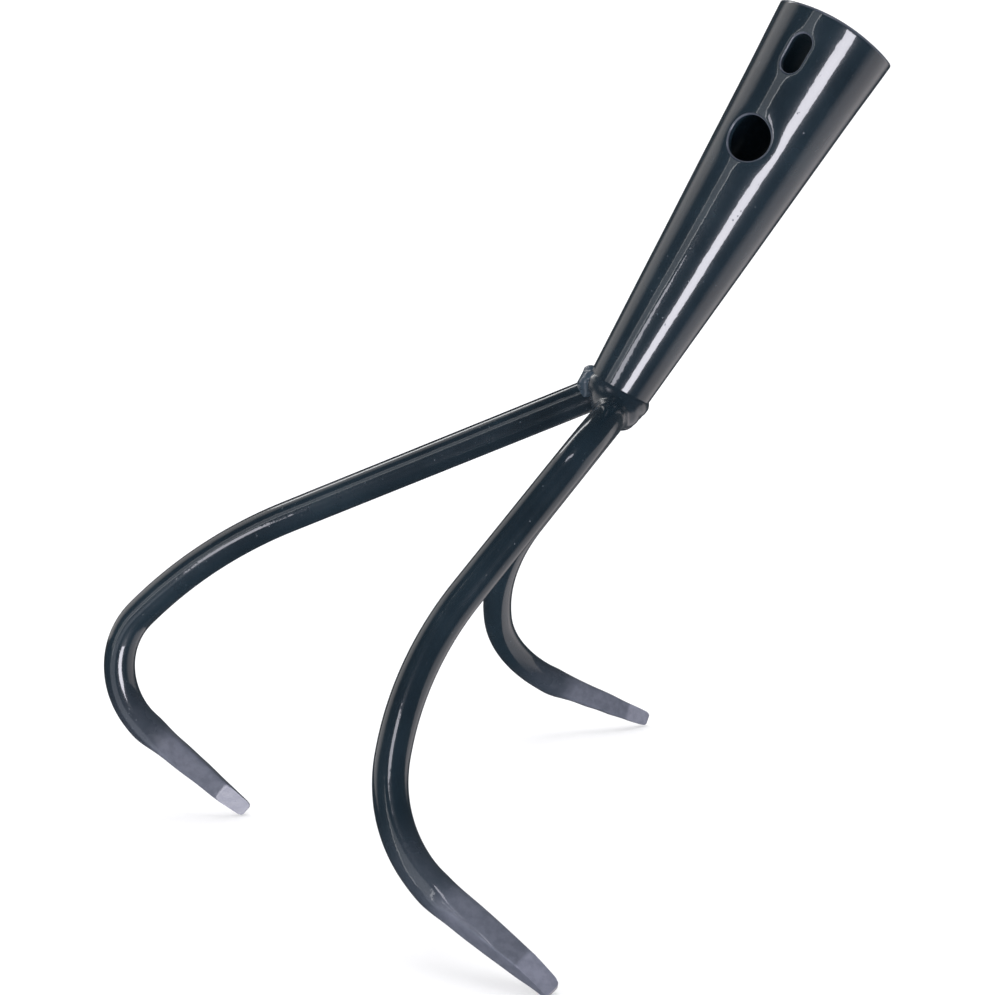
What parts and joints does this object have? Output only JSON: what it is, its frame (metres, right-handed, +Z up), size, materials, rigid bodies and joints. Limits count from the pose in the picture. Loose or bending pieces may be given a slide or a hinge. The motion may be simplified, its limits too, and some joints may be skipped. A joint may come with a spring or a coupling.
{
  "type": "three-tine cultivator head",
  "caption": "Cultivator head: tapered handle socket with a fixing hole and slot, and bent round-bar tines with forged points.",
  "frame": {"origin": "centre of the bounding box's base, on the ground that the head stands on with its three points", "axes": "+Z up; +X level, the way the points face and the tool is pulled; the socket leans towards +X; the XZ plane is the middle plane between the side tines"},
  "size_m": [0.2474, 0.2512, 0.2572],
  "materials": {
    "socket_paint": "glossy dark blue-grey stoved paint",
    "tine_paint": "glossy dark blue-grey stoved paint",
    "weld_paint": "glossy dark blue-grey paint over rough weld metal"
  },
  "bodies": {
    "root": {"socket": "socket_paint", "socket_neck": "socket_paint", "centre_tine": "tine_paint", "left_tine": "tine_paint", "right_tine": "tine_paint", "back_weld": "weld_paint", "front_weld": "weld_paint", "left_weld": "weld_paint", "right_weld": "weld_paint"}
  },
  "joints": []
}
